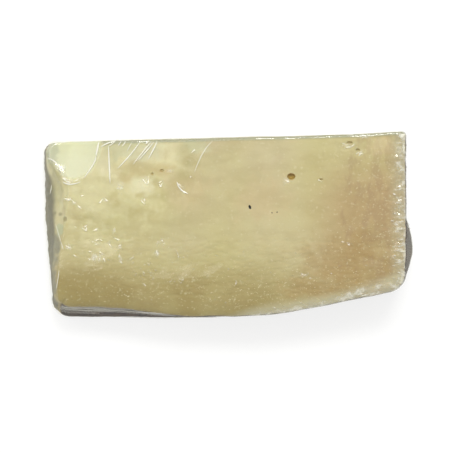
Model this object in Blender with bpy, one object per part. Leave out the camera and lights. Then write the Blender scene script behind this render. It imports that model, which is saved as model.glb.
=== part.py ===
"""A retail chunk of pecorino romano in stretch film, lying on one cut face.

The chunk is a flat wedge cut from a wheel: its front and base are radial cuts, its right
end is the wheel's side, its lower edge is the wheel's flat face, its upper edge is a level
cut and its left end is broken near the wheel's core. The solid is the pack's outer form:
the film clings to the cheese, so the crags and eyes that show are relief in it.

The frame is +X towards the rind end, +Y towards the upper cut, +Z out of the front face,
with the origin under the middle of the pack. Sizes are in millimetres until MM turns them.
A wall's level is 0 at the base and 1 at the front face.
"""

import math
import random

import bmesh
import bpy
from mathutils import Matrix, Vector, noise

MM = 0.001

# The block between its walls.
HALF_LENGTH = 76.0
HALF_HEIGHT = 38.0
MID_THICKNESS = 36.0
WEDGE_SLOPE = 0.08

# The level cut along the top, almost straight.
UPPER_FRONT_Y = 37.3
UPPER_SLOPE = 0.021
UPPER_TIP_RISE = 0.7
UPPER_TIP_SPAN = (50.0, 72.0)
UPPER_FLARE = 0.9

# The wheel's flat face along the bottom, which domes up to the rim on the right.
LOWER_FRONT_Y = -39.3
LOWER_BASE_Y = -40.4
LOWER_TURN_LEVELS = (0.1, 1.1)
LOWER_LEFT_LIFT = 4.0
LOWER_LIFT_SPAN = (12.0, 58.0)
RIM_SLOPE = 0.215
RIM_START = 18.0
RIM_SOFTNESS = 15.0

# The broken end on the left, which leans out to the base and is notched at the front.
LEFT_FRONT_X = -72.8
LEFT_BASE_X = -79.9
LEFT_BEND = 3.0
LEFT_CORNER_REACH = 3.4
LEFT_CORNER_SPAN = (18.0, 30.0)
LEFT_NOTCH_DEPTH = 2.8
LEFT_NOTCH_Y = 4.0
LEFT_NOTCH_REACH = 26.0
LEFT_LEAN = 0.095
LEFT_LEAN_START = -8.0
LEFT_LEAN_SOFTNESS = 6.0
LEFT_CORNER_CALM = 0.4

# The wheel's side on the right, with one fold of gathered film low down.
RIGHT_FRONT_X = 75.4
RIGHT_BASE_X = 76.6
RIGHT_BARREL = 0.8
FOLD_BULGE = 3.4
FOLD_Y = -17.5
FOLD_REACH = 18.0
FOLD_LEVEL = 0.45
FOLD_LEVEL_REACH = 0.5

# Each wall's unevenness: height and size of its lumps, and their drift from base to front.
WALL_LUMPS = {"upper": (0.2, 14.0), "lower": (0.35, 9.0), "left": (0.9, 8.0), "right": (0.35, 7.0)}
LUMP_DRIFT = 30.0

# Rounding: the four upright corners, and how far each front edge rolls in and drops.
CORNER_RADII = {(-1, 1): 4.5, (1, 1): 2.0, (1, -1): 7.0, (-1, -1): 7.0}
ROLL_WIDTHS = {"left": 2.2, "right": 4.0, "lower": 12.0, "upper": 1.6}
ROLL_DROPS = {"left": 1.6, "right": 2.4, "lower": 4.2, "upper": 1.3}
BASE_RADIUS = 2.2
BASE_ROUND_LEVEL = 0.07

# Hollows of the front face: centre, half sizes and depth.
HOLLOWS = {
    "chipped_corner": ((-64.9, 38.4), (12.5, 19.2), 4.4),
    "upper_hollow": ((-32.4, 35.4), (25.0, 9.5), 1.9),
    "left_break": ((-73.0, 14.0), (6.0, 14.0), 3.0),
    "lower_left_dish": ((-56.4, -4.6), (13.0, 10.0), 0.8),
    "middle_dish": ((-21.4, -15.6), (20.0, 7.0), 0.7),
}
HOLLOW_LIP = 0.8

# Gentle rise and fall of the cut face: height, size and layer of each set of lumps.
SWELLS = ((0.35, 26.0, 0.0), (0.2, 8.0, 9.0))

# Scallops that crumbled out of the rind edge.
RIM_SPAN = (60.0, 72.0)
RIM_SCALLOP_DEPTH = 0.5
RIM_SCALLOP_SIZE = 3.2
RIM_SCALLOP_STRETCH = 0.4
RIM_SCALLOP_LAYER = 5.0

# Flakes that lift off the lower half, as a blade leaves them, in a band that rises to the left.
FLAKE_SEED = 11
FLAKE_COUNT = 52
FLAKE_LENGTHS = (4.5, 10.0)
FLAKE_WIDTHS = (2.6, 5.0)
FLAKE_DEPTHS = (0.25, 0.65)
FLAKE_TURNS = (-18.0, 18.0)
FLAKE_SPAN_X = (-66.0, 66.0)
FLAKE_SPAN_Y = (-30.0, -6.0)
FLAKE_BAND_RISE = 10.0
FLAKE_RISE_SPAN = (30.0, 60.0)
FLAKE_STEP = 0.4

# Eyes and pits: centre on the front, half sizes, depth below the face.
EYES = {
    "round_eye": ((27.2, 20.6), (1.75, 1.35), 2.4),
    "slit_pit": ((39.7, 19.2), (0.9, 0.6), 1.0),
    "rim_pit_left": ((51.6, 34.5), (1.5, 0.9), 1.6),
    "rim_pit_right": ((55.0, 31.9), (1.2, 0.9), 1.4),
    "left_crevice": ((-68.4, 2.8), (1.0, 1.4), 2.6),
    "core_pit_left": ((-31.4, 21.9), (0.6, 0.5), 1.0),
    "core_pit_right": ((-27.3, 23.2), (0.9, 0.7), 1.3),
}

# How finely the surface is divided, with more rows near the edges.
CELLS = (76, 40, 9)
EDGE_CROWDING = 0.45

PASTE_COLOUR = (0.62, 0.55, 0.32, 1)
PASTE_ROUGHNESS = 0.4
SHARP_ANGLE = 40.0
TINY = 1e-6


def mix(a, b, t):
    """The value a share t of the way from a to b."""
    return a + (b - a) * t


def smooth(x, start, end):
    """0 at start, 1 at end, with a soft S between them."""
    t = min(max((x - start) / (end - start), 0.0), 1.0)
    return t * t * (3 - 2 * t)


def hinge(x, start, softness):
    """0 well before start, then rising one for one, through a soft bend."""
    d = x - start
    return (math.hypot(d, softness) + d) / 2


def mound(distance, reach):
    """1 at no distance, falling smoothly to 0 at reach."""
    t = min(abs(distance) / reach, 1.0)
    return (1 - t * t) ** 2


def lumps(x, y, z, size):
    """Soft lumps about size millimetres across, between -1 and 1."""
    return noise.noise(Vector((x, y, z)) / size)


def wall_lumps(wall, x, y, level):
    """How far a lump of the named wall stands out."""
    height, size = WALL_LUMPS[wall]
    return height * lumps(x, y, LUMP_DRIFT * level, size)


def upper_wall(x, level):
    """Y of the level cut."""
    front = UPPER_FRONT_Y + UPPER_SLOPE * x + UPPER_TIP_RISE * smooth(x, *UPPER_TIP_SPAN)
    return front + UPPER_FLARE * (1 - level) + wall_lumps("upper", x, UPPER_FRONT_Y, level)


def lower_wall(x, level):
    """Y of the wheel's flat face."""
    dome = RIM_SLOPE * hinge(x, RIM_START, RIM_SOFTNESS)
    front = LOWER_FRONT_Y + LOWER_LEFT_LIFT * smooth(-x, *LOWER_LIFT_SPAN)
    flat = mix(LOWER_BASE_Y, front, smooth(level, *LOWER_TURN_LEVELS))
    return flat + dome + wall_lumps("lower", x, LOWER_BASE_Y, level)


def left_wall(y, level):
    """X of the broken end."""
    corner = smooth(y, *LEFT_CORNER_SPAN)
    notch = LEFT_NOTCH_DEPTH * mound(y - LEFT_NOTCH_Y, LEFT_NOTCH_REACH)
    front = LEFT_FRONT_X - LEFT_CORNER_REACH * corner + notch
    base = LEFT_BASE_X + LEFT_LEAN * hinge(-y, LEFT_LEAN_START, LEFT_LEAN_SOFTNESS)
    broken = wall_lumps("left", LEFT_FRONT_X, y, level) * (1 - LEFT_CORNER_CALM * corner)
    return mix(base, front, level**LEFT_BEND) + broken * math.sin(math.pi * level)


def right_wall(y, level):
    """X of the wheel's side."""
    fold = FOLD_BULGE * mound(y - FOLD_Y, FOLD_REACH) * mound(level - FOLD_LEVEL, FOLD_LEVEL_REACH)
    barrel = RIGHT_BARREL * math.sin(math.pi * level)
    side = mix(RIGHT_BASE_X, RIGHT_FRONT_X, level)
    return side + barrel + fold + wall_lumps("right", RIGHT_FRONT_X, y, level)


def rounded_corner(x, y):
    """Bends the square corners of the plan into arcs."""
    side_x, side_y = math.copysign(1, x), math.copysign(1, y)
    radius = CORNER_RADII[side_x, side_y]
    over_x = abs(x) - (HALF_LENGTH - radius)
    over_y = abs(y) - (HALF_HEIGHT - radius)
    if over_x <= 0 or over_y <= 0:
        return x, y
    pull = 1 - max(over_x, over_y) / math.hypot(over_x, over_y)
    return x - side_x * over_x * pull, y - side_y * over_y * pull


def plan_point(u, v, level):
    """X and Y of a cube point: u and v run from wall to wall."""
    curl = 1 - min(level / BASE_ROUND_LEVEL, 1.0)
    inset = BASE_RADIUS * (1 - math.sqrt(1 - curl * curl))
    x, y = rounded_corner(u * HALF_LENGTH, v * HALF_HEIGHT)
    x *= 1 - inset / HALF_LENGTH
    y *= 1 - inset / HALF_HEIGHT
    across = (y / HALF_HEIGHT + 1) / 2
    along = (x / HALF_LENGTH + 1) / 2
    real_y = mix(lower_wall(x, level), upper_wall(x, level), across)
    real_x = mix(left_wall(y, level), right_wall(y, level), along)
    return real_x, real_y


def roll_off(u, v):
    """How far the front face has dropped where it rolls over its edges."""
    gaps = {
        "left": (1 + u) * HALF_LENGTH,
        "right": (1 - u) * HALF_LENGTH,
        "lower": (1 + v) * HALF_HEIGHT,
        "upper": (1 - v) * HALF_HEIGHT,
    }
    near = {wall: max(0.0, 1 - gap / ROLL_WIDTHS[wall]) for wall, gap in gaps.items()}
    total = sum(share**2 for share in near.values())
    if total == 0:
        return 0.0
    drop = sum(share**2 * ROLL_DROPS[wall] for wall, share in near.items()) / total
    inner = sum((1 - share + TINY) ** -2 - 1 for share in near.values())
    turn = 1 - (inner + 1) ** -0.5
    return drop * (1 - math.sqrt(1 - turn * turn))


def hollow(x, y, centre, half_sizes, depth):
    """Depth of a shallow dish with a fairly crisp lip."""
    reach = math.hypot((x - centre[0]) / half_sizes[0], (y - centre[1]) / half_sizes[1])
    return depth * max(0.0, 1 - reach) ** HOLLOW_LIP


def make_flakes():
    """Place, turn, length, width and depth of each flake."""
    draw = random.Random(FLAKE_SEED)
    flakes = []
    for _ in range(FLAKE_COUNT):
        x = draw.uniform(*FLAKE_SPAN_X)
        y = draw.uniform(*FLAKE_SPAN_Y) + FLAKE_BAND_RISE * smooth(-x, *FLAKE_RISE_SPAN)
        turn = math.radians(draw.uniform(*FLAKE_TURNS))
        size = draw.uniform(*FLAKE_LENGTHS), draw.uniform(*FLAKE_WIDTHS)
        flakes.append((x, y, turn, *size, draw.uniform(*FLAKE_DEPTHS)))
    return flakes


def flake_depth(x, y, flake):
    """A scarp: it slopes down across its width and ends in a short steep step."""
    centre_x, centre_y, turn, length, width, depth = flake
    dx, dy = x - centre_x, y - centre_y
    along = (dx * math.cos(turn) + dy * math.sin(turn)) / length
    across = (dy * math.cos(turn) - dx * math.sin(turn)) / width
    if abs(along) > 1 or not -1 < across < FLAKE_STEP:
        return 0.0
    slope = 1 + across if across < 0 else 1 - across / FLAKE_STEP
    return depth * slope * (1 - along * along)


def front_relief(x, y, flakes):
    """How far the front lies below its plane: hollows, flakes, rim scallops and swell."""
    depth = sum(hollow(x, y, *dish) for dish in HOLLOWS.values())
    depth += max(flake_depth(x, y, flake) for flake in flakes)
    scallop = lumps(x * RIM_SCALLOP_STRETCH, y, RIM_SCALLOP_LAYER, RIM_SCALLOP_SIZE)
    depth += RIM_SCALLOP_DEPTH * smooth(x, *RIM_SPAN) * (1 + scallop) / 2
    return depth - sum(height * lumps(x, y, layer, size) for height, size, layer in SWELLS)


def front_height(x, y, flakes):
    """Z of the front face, away from its rolled edges."""
    return MID_THICKNESS + WEDGE_SLOPE * x - front_relief(x, y, flakes)


def crowded(t):
    """Moves an even position in -1 to 1 towards the ends, so that the edges get more rows."""
    return mix(t, math.sin(t * math.pi / 2), EDGE_CROWDING)


def shaped_point(cube_point, flakes):
    """Turns a point on the 2 by 2 by 2 cube into its place on the pack."""
    u, v, w = (crowded(t) for t in cube_point)
    level = (w + 1) / 2
    x, y = plan_point(u, v, level)
    return Vector((x, y, level * (front_height(x, y, flakes) - roll_off(u, v))))


def divided_cube():
    """A bmesh cube, cut into rows along each axis."""
    block = bmesh.new()
    bmesh.ops.create_cube(block, size=2)
    for axis, count in enumerate(CELLS):
        edges = [e for e in block.edges if e.verts[0].co[axis] != e.verts[1].co[axis]]
        bmesh.ops.subdivide_edges(block, edges=edges, cuts=count - 1, use_grid_fill=True)
    return block


def make_block(flakes):
    """The pack without its eyes, as a mesh in metres with a flat base."""
    block = divided_cube()
    base = [f for f in block.faces if all(v.co.z == -1 for v in f.verts)]
    for vert in block.verts:
        vert.co = shaped_point(vert.co, flakes) * MM
    bmesh.ops.dissolve_faces(block, faces=base)
    bmesh.ops.recalc_face_normals(block, faces=block.faces)
    mesh = bpy.data.meshes.new("wrapped_chunk")
    block.to_mesh(mesh)
    block.free()
    return mesh


def make_eye_cutter(flakes):
    """One mesh of separate eggs, which hollow the eyes and pits out of the front."""
    eggs = bmesh.new()
    for (x, y), half_sizes, depth in EYES.values():
        made = bmesh.ops.create_icosphere(eggs, subdivisions=2, radius=1)["verts"]
        place = Matrix.Translation((x, y, front_height(x, y, flakes)))
        size = Matrix.Diagonal((*half_sizes, depth, 1))
        bmesh.ops.transform(eggs, matrix=place @ size, verts=made)
    bmesh.ops.scale(eggs, vec=(MM, MM, MM), verts=eggs.verts)
    mesh = bpy.data.meshes.new("eye_cutter")
    eggs.to_mesh(mesh)
    eggs.free()
    cutter = bpy.data.objects.new("eye_cutter", mesh)
    bpy.context.scene.collection.objects.link(cutter)
    cutter.hide_render = True
    cutter.display_type = "WIRE"
    return cutter


def paste_material():
    """Pressed sheep's cheese under film: pale straw, a little glossy."""
    material = bpy.data.materials.new("paste_under_film")
    material.use_nodes = True
    shader = material.node_tree.nodes["Principled BSDF"]
    shader.inputs["Base Color"].default_value = PASTE_COLOUR
    shader.inputs["Roughness"].default_value = PASTE_ROUGHNESS
    shader.inputs["Metallic"].default_value = 0.0
    return material


def clear_scene():
    """Removes every object that the file opened with."""
    for obj in list(bpy.data.objects):
        bpy.data.objects.remove(obj)


def main():
    """Builds the pack as one solid."""
    clear_scene()
    flakes = make_flakes()
    mesh = make_block(flakes)
    mesh.materials.append(paste_material())
    chunk = bpy.data.objects.new("wrapped_chunk", mesh)
    bpy.context.scene.collection.objects.link(chunk)
    eyes = chunk.modifiers.new("eyes", "BOOLEAN")
    eyes.operation = "DIFFERENCE"
    eyes.object = make_eye_cutter(flakes)
    mesh.shade_smooth()
    mesh.set_sharp_from_angle(angle=math.radians(SHARP_ANGLE))


main()
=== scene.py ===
"""The looks of a chunk of pecorino romano in clear stretch film, seen from straight above.

The chunk lies on one radial cut of the wheel and shows the other. Its right end is the
wheel's side and its lower edge the wheel's flat face, both with rind; its upper edge is a
level cut, and its left end is broken near the core. Forms are worked out in millimetres.
"""

import math
import random

import bmesh
import bpy
import numpy as np
from mathutils import Matrix, Vector, noise
from mathutils.bvhtree import BVHTree


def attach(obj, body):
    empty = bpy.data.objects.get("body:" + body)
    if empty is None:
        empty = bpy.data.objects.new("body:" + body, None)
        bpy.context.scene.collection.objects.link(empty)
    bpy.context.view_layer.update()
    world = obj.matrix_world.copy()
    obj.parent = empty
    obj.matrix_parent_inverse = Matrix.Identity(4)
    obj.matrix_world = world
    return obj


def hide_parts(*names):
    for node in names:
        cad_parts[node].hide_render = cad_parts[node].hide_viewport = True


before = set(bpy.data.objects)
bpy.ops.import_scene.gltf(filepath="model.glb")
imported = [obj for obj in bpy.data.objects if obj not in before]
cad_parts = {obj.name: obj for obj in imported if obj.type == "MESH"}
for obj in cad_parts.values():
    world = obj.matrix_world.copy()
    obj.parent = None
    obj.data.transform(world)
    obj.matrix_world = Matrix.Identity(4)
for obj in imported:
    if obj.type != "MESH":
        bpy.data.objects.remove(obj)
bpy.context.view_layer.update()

# ---------------------------------------------------------------------------------------
# Camera, floor and light. The chunk lies on a white board. A softbox stands past its
# upper edge, a large dim one glows over its left end, and the room fills the rest.

MM = 0.001
IMAGE_PIXELS = 453
MM_PER_PIXEL = 0.42
CAMERA_DISTANCE = 0.80
FACE_HEIGHT = 0.038
CAMERA_X, CAMERA_Y = 0.0, -0.42 * MM
SENSOR = 36.0
KEY_TILT = math.radians(13)
KEY_TURN = math.radians(11)
KEY_DISTANCE = 1.1
KEY_SIZE = (0.38, 0.28)
KEY_WATTS = 6.0
GLOW_AIM = (-0.42, 0.37, 0.83)
GLOW_EDGE, GLOW_FULL = 0.915, 0.955
GLOW_LIGHT = (1.7, 1.7, 1.65, 1.0)
ROOM_TONE = "#c3c3c2"
TABLE_HALF_SIZE, TABLE_DROP = 3.0, 0.05 * MM


def linear(code):
    """A hex sRGB colour as linear red, green, blue and an alpha of 1."""
    levels = [int(code[i : i + 2], 16) / 255 for i in (1, 3, 5)]
    return (*[c / 12.92 if c <= 0.04045 else ((c + 0.055) / 1.055) ** 2.4 for c in levels], 1.0)


def add_node(tree, kind, inputs=(), out=0, **settings):
    """Adds a node with its settings, feeds its inputs in order or by name, gives an output."""
    node = tree.nodes.new("ShaderNode" + kind)
    for name, value in settings.items():
        setattr(node, name, value)
    for key, value in inputs.items() if isinstance(inputs, dict) else enumerate(inputs):
        if isinstance(value, bpy.types.NodeSocket):
            tree.links.new(value, node.inputs[key])
        else:
            node.inputs[key].default_value = value
    return node.outputs[out] if len(node.outputs) else None


def soft_share(tree, value, start, end, least=0.0, most=1.0):
    """A map range node: least at start, most at end, with a soft S between them."""
    ramp = (value, start, end, least, most)
    return add_node(tree, "MapRange", ramp, interpolation_type="SMOOTHSTEP")


def blend(tree, share, first, second):
    """A colour mix node: the first colour at a share of 0, the second at 1."""
    return add_node(tree, "Mix", {0: share, 6: first, 7: second}, 2, data_type="RGBA")


def add_object(name, data):
    """A new object at the origin, in the scene."""
    made = bpy.data.objects.new(name, data)
    bpy.context.scene.collection.objects.link(made)
    return made


def finished_mesh(name, block, *paints):
    """The bmesh block as a mesh of that name, in those paints. The block itself is freed."""
    mesh = bpy.data.meshes.new(name)
    block.to_mesh(mesh)
    block.free()
    for paint in paints:
        mesh.materials.append(paint)
    return mesh


def new_paint(name, finish=None):
    """A new node material with that finish, its tree, and its main shader's sockets."""
    paint = bpy.data.materials.new(name)
    paint.use_nodes = True
    shader = paint.node_tree.nodes["Principled BSDF"].inputs
    for socket, value in (finish or {}).items():
        shader[socket].default_value = value
    return paint, paint.node_tree, shader


camera_data = bpy.data.cameras.new("overhead_camera")
camera_data.sensor_width = SENSOR
camera_data.lens = SENSOR * CAMERA_DISTANCE / (IMAGE_PIXELS * MM_PER_PIXEL * MM)
camera = add_object("overhead_camera", camera_data)
camera.location = (CAMERA_X, CAMERA_Y, FACE_HEIGHT + CAMERA_DISTANCE)
bpy.context.scene.camera = camera
bpy.context.scene.view_settings.view_transform = "Standard"

key_aim = Vector((math.sin(KEY_TURN), math.cos(KEY_TURN), 0)) * math.sin(2 * KEY_TILT)
key_aim.z = math.cos(2 * KEY_TILT)
key_data = bpy.data.lights.new("upper_softbox", "AREA")
key_data.shape = "RECTANGLE"
key_data.size, key_data.size_y = KEY_SIZE
key_data.energy = KEY_WATTS
key_data.color = linear("#fffffc")[:3]
key_light = add_object("upper_softbox", key_data)
key_light.location = key_aim * KEY_DISTANCE
key_light.rotation_mode = "QUATERNION"
key_light.rotation_quaternion = (-key_aim).to_track_quat("-Z", "Y")

world = bpy.data.worlds.new("soft_room")
bpy.context.scene.world = world
world.use_nodes = True
room = world.node_tree
room.nodes.clear()
sky_way = add_node(room, "TexCoord")
glow_near = add_node(room, "VectorMath", (sky_way, GLOW_AIM), 1, operation="DOT_PRODUCT")
glow_share = soft_share(room, glow_near, GLOW_EDGE, GLOW_FULL)
sky_tone = blend(room, glow_share, linear(ROOM_TONE), GLOW_LIGHT)
add_node(room, "OutputWorld", (add_node(room, "Background", (sky_tone, 1.0)),))

table_block = bmesh.new()
bmesh.ops.create_grid(table_block, x_segments=1, y_segments=1, size=TABLE_HALF_SIZE)
bmesh.ops.translate(table_block, vec=(0, 0, -TABLE_DROP), verts=table_block.verts)

# Matt white laminate, lit till it is burnt out: it glows, so that shadows on it stay pale.
board_finish = {
    "Base Color": linear("#9c9c9b"),
    "Roughness": 0.9,
    "Emission Color": (1, 1, 1, 1),
    "Emission Strength": 0.74,
}
board_paint, _, _ = new_paint("matt_white_board", board_finish)
table = add_object("table", finished_mesh("table", table_block, board_paint))

# ---------------------------------------------------------------------------------------
# The cheese. Pressed, salted sheep's curd, aged till it is hard: pale straw at the core,
# browner and drier towards the rind, with crags where the blade lifted flakes and a few
# round eyes. A wire cut the front, a break left the end by the core, and the rind is dark.

# Its outer form: four walls in plan that change from the foot to the front face, a front
# that rises to the rind, rolled edges and hollows. The film is stretched over this form.
HALF_LENGTH, HALF_HEIGHT = 76.0, 38.0
MID_THICKNESS, WEDGE_SLOPE, WALL_HEIGHT = 36.0, 0.08, 30.0
UPPER_Y, UPPER_SLOPE, UPPER_HORN, UPPER_LEAN = 37.3, 0.021, 0.7, 0.9
LOWER_Y, LOWER_FOOT_Y, CORE_SLANT = -39.3, -40.4, 4.0
DOME_START, DOME_BEND, DOME_SLOPE = 18, 15, 0.215
LEFT_X, LEFT_FOOT_X, LEFT_CORNER_OUT, LEFT_NOTCH = -72.8, -79.9, 3.4, 2.8
RIGHT_X, RIGHT_FOOT_X, RIGHT_BARREL = 75.4, 76.6, 0.8
BULGE_Y, BULGE_REACH, BULGE_OUT = -17.5, 18, 3.4
BROKEN_LUMPS, RIND_LUMPS = 0.6, 0.35
CORNER_RADII = {(-1, 1): 4.5, (1, 1): 2.0, (1, -1): 7.0, (-1, -1): 7.0}
ROLL_WIDTHS = {"left": 2.2, "right": 4.0, "lower": 12.0, "upper": 1.6}
ROLL_DROPS = {"left": 1.6, "right": 2.4, "lower": 4.2, "upper": 1.3}
BASE_RADIUS, BASE_ROUND_LEVEL = 2.2, 0.07
CHIPPED_CORNER = ((-64.9, 38.4), (12.5, 19.2), 4.4)
UPPER_HOLLOW = ((-32.4, 35.4), (27.0, 11.5), 1.9, 1.7)
LEFT_BREAK = ((-73.0, 14.0), (6.0, 14.0), 3.0)
LOWER_LEFT_DISH = ((-56.4, -4.6), (13.0, 10.0), 0.8)
MIDDLE_DISH = ((-21.4, -15.6), (20.0, 7.0), 0.7)
EDGE_CROWDING = 0.2
WALL_REACH = 4.0
TINY = 1e-6


def mix(a, b, t):
    """The value a share t of the way from a to b."""
    return a + (b - a) * t


def smooth(x, start, end):
    """0 at start, 1 at end, with a soft S between them."""
    t = np.clip((x - start) / (end - start), 0.0, 1.0)
    return t * t * (3 - 2 * t)


def hinge(x, start, softness):
    """0 well before start, then rising one for one, through a soft bend."""
    d = x - start
    return (np.hypot(d, softness) + d) / 2


def mound(distance, reach):
    """1 at no distance, falling smoothly to 0 at reach."""
    t = np.minimum(np.abs(distance) / reach, 1.0)
    return (1 - t * t) ** 2


def lumps(x, y, z, size):
    """Soft lumps about size millimetres across, between -1 and 1."""
    spots = np.stack(np.broadcast_arrays(x, y, z), axis=-1).reshape(-1, 3) / size
    return np.array([noise.noise(Vector(spot)) for spot in spots.tolist()])


def upper_wall(x, level):
    """Y of the level cut, smooth and almost straight."""
    front = UPPER_Y + UPPER_SLOPE * x + UPPER_HORN * smooth(x, 50, 72)
    return front + UPPER_LEAN * (1 - level) + 0.2 * lumps(x, UPPER_Y, WALL_HEIGHT * level, 14)


def lower_wall(x, level):
    """Y of the wheel's flat face, which domes up to the rim on the right."""
    dome = DOME_SLOPE * hinge(x, DOME_START, DOME_BEND)
    front = LOWER_Y + CORE_SLANT * smooth(-x, 12, 58)
    rind = RIND_LUMPS * lumps(x, LOWER_FOOT_Y, WALL_HEIGHT * level, 9)
    return mix(LOWER_FOOT_Y, front, smooth(level, 0.1, 1.1)) + dome + rind


def left_wall(y, level):
    """X of the broken end, which leans out to the foot and is notched at the front."""
    corner = smooth(y, 18, 30)
    front = LEFT_X - LEFT_CORNER_OUT * corner + LEFT_NOTCH * mound(y - 4, 26)
    foot = LEFT_FOOT_X + 0.095 * hinge(-y, -8, 6)
    broken = BROKEN_LUMPS * lumps(LEFT_X, y, WALL_HEIGHT * level, 8) * (1 - 0.4 * corner)
    return mix(foot, front, level**3) + broken * np.sin(np.pi * level)


def right_wall(y, level):
    """X of the wheel's side, slightly barrelled, with one bulge low down."""
    bulge = BULGE_OUT * mound(y - BULGE_Y, BULGE_REACH) * mound(level - 0.45, 0.5)
    barrel = RIGHT_BARREL * np.sin(np.pi * level)
    rind = RIND_LUMPS * lumps(RIGHT_X, y, WALL_HEIGHT * level, 7)
    return mix(RIGHT_FOOT_X, RIGHT_X, level) + barrel + bulge + rind


def rounded_corners(x, y):
    """Bends the square corners of the plan into arcs."""
    for (side_x, side_y), radius in CORNER_RADII.items():
        over_x = x * side_x - (HALF_LENGTH - radius)
        over_y = y * side_y - (HALF_HEIGHT - radius)
        inside = (over_x > 0) & (over_y > 0)
        pull = 1 - np.maximum(over_x, over_y) / np.maximum(np.hypot(over_x, over_y), TINY)
        x = np.where(inside, x - side_x * over_x * pull, x)
        y = np.where(inside, y - side_y * over_y * pull, y)
    return x, y


def plan_points(u, v, level):
    """X and Y of cube points: u and v run from wall to wall, level from base to front."""
    curl = 1 - np.minimum(level / BASE_ROUND_LEVEL, 1.0)
    inset = BASE_RADIUS * (1 - np.sqrt(1 - curl * curl))
    x, y = rounded_corners(u * HALF_LENGTH, v * HALF_HEIGHT)
    x = x * (1 - inset / HALF_LENGTH)
    y = y * (1 - inset / HALF_HEIGHT)
    real_y = mix(lower_wall(x, level), upper_wall(x, level), (y / HALF_HEIGHT + 1) / 2)
    real_x = mix(left_wall(y, level), right_wall(y, level), (x / HALF_LENGTH + 1) / 2)
    return real_x, real_y


def roll_off(u, v):
    """How far the front face has dropped where it rolls over its edges."""
    gaps = {
        "left": (1 + u) * HALF_LENGTH,
        "right": (1 - u) * HALF_LENGTH,
        "lower": (1 + v) * HALF_HEIGHT,
        "upper": (1 - v) * HALF_HEIGHT,
    }
    near = {wall: np.maximum(0.0, 1 - gap / ROLL_WIDTHS[wall]) for wall, gap in gaps.items()}
    total = np.maximum(sum(share**2 for share in near.values()), TINY)
    drop = sum(share**2 * ROLL_DROPS[wall] for wall, share in near.items()) / total
    inner = sum((1 - share + TINY) ** -2 - 1 for share in near.values())
    turn = 1 - (inner + 1) ** -0.5
    return drop * (1 - np.sqrt(np.maximum(0.0, 1 - turn * turn)))


def hollow(x, y, centre, half_sizes, depth, lip=0.8):
    """Depth of a shallow dish with a fairly crisp lip."""
    reach = np.hypot((x - centre[0]) / half_sizes[0], (y - centre[1]) / half_sizes[1])
    return depth * np.maximum(0.0, 1 - reach) ** lip


def face_swell(x, y):
    """The gentle rise and fall of a hand-cut face."""
    return 0.35 * lumps(x, y, 0, 26) + 0.2 * lumps(x, y, 9, 8)


def rim_scallops(x, y):
    """Depth of the scallops that crumbled out of the rind edge."""
    return 0.25 * smooth(x, 60, 72) * (1 + lumps(x * 0.4, y, 5, 3.2))


def make_flakes(seed, count, lengths, widths, depths):
    """Places, turns and sizes of flakes, in a band that rises to the left end."""
    draw = random.Random(seed)
    flakes = []
    for _ in range(count):
        x = draw.uniform(-66, 66)
        y = draw.uniform(-30, -6) + 10 * float(smooth(-x, 30, 60))
        turn = math.radians(draw.uniform(-18, 18))
        size = draw.uniform(*lengths), draw.uniform(*widths)
        flakes.append((x, y, turn, *size, draw.uniform(*depths)))
    return flakes


def flake_depths(x, y, flakes):
    """The deepest flake at each place: each slopes down, then ends in a short steep step."""
    deepest = np.zeros_like(x)
    for centre_x, centre_y, turn, length, width, depth in flakes:
        near = np.flatnonzero(np.hypot(x - centre_x, y - centre_y) < math.hypot(length, width))
        dx, dy = x[near] - centre_x, y[near] - centre_y
        along = (dx * math.cos(turn) + dy * math.sin(turn)) / length
        across = (dy * math.cos(turn) - dx * math.sin(turn)) / width
        slope = np.where(across < 0, 1 + across, 1 - across / 0.4)
        cut = depth * np.maximum(slope, 0) * np.maximum(1 - along * along, 0)
        deepest[near] = np.maximum(deepest[near], cut)
    return deepest


def divided_cube(cells):
    """A bmesh cube of side 2, cut into that many rows along each axis."""
    block = bmesh.new()
    bmesh.ops.create_cube(block, size=2)
    for axis, count in enumerate(cells):
        if count > 1:
            edges = [e for e in block.edges if e.verts[0].co[axis] != e.verts[1].co[axis]]
            bmesh.ops.subdivide_edges(block, edges=edges, cuts=count - 1, use_grid_fill=True)
    return block


def form_points(u, v, level, depth_below_face, inset, wall_depth):
    """Places on the form, less inset, less a depth on the front and a depth on the walls."""
    x, y = plan_points(u, v, level)
    front = MID_THICKNESS + WEDGE_SLOPE * x - roll_off(u, v)
    front = front - depth_below_face(x, y) * smooth(level, 0.55, 1.0)
    z = mix(inset, front - inset, level)
    push = wall_depth(x, y, z) + inset
    x = x - np.sign(u) * push * mound((1 - np.abs(u)) * HALF_LENGTH, WALL_REACH)
    y = y - np.sign(v) * push * mound((1 - np.abs(v)) * HALF_HEIGHT, WALL_REACH)
    return np.stack([x, y, z], axis=-1)


def shaped_block(name, cells, depth_below_face, inset, wall_depth):
    """A mesh of the form: a cube cut into cells, each of its points moved to its place."""
    block = divided_cube(cells)
    base = [f for f in block.faces if all(v.co.z == -1 for v in f.verts)]
    cube = np.array([v.co for v in block.verts])
    u, v, w = mix(cube, np.sin(cube * np.pi / 2), EDGE_CROWDING).T
    places = form_points(u, v, (w + 1) / 2, depth_below_face, inset, wall_depth) * MM
    for vert, place in zip(block.verts, places.tolist()):
        vert.co = place
    bmesh.ops.dissolve_faces(block, faces=base)
    bmesh.ops.recalc_face_normals(block, faces=block.faces)
    mesh = finished_mesh(name, block)
    mesh.shade_smooth()
    return mesh


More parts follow.
